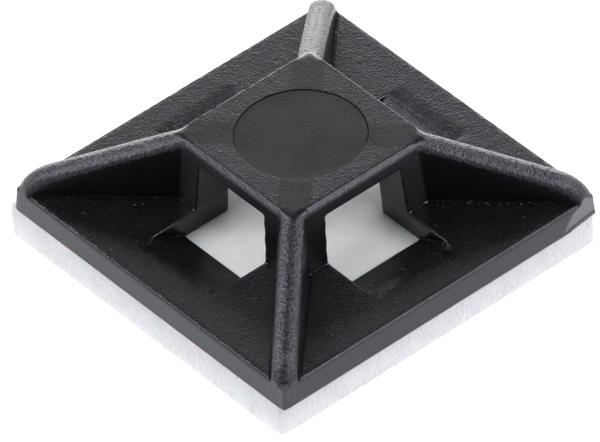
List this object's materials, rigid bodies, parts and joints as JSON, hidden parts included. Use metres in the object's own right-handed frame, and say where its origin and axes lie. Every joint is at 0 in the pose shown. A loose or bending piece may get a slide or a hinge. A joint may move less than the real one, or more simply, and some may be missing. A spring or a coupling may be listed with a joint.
{
  "type": "cable tie mount",
  "caption": "Self-adhesive cable tie mount: square base with a raised bridge a tie threads under from either direction, ribbed to its corners, on a foam tape pad.",
  "frame": {"origin": "on the bridge's axis, in the adhesive underside of the foam pad", "axes": "+Z out of the surface the mount is stuck to; X and Y along the sides of the base, which are also the two directions a tie can run; the gate trim is at the +X +Y corner"},
  "size_m": [0.0192, 0.0191, 0.0063],
  "materials": {
    "black_nylon": "spark-textured black moulded nylon",
    "white_foam": "white closed-cell foam tape with adhesive on both faces"
  },
  "bodies": {
    "root": {"mount_body": "black_nylon", "adhesive_pad": "white_foam"}
  },
  "joints": []
}
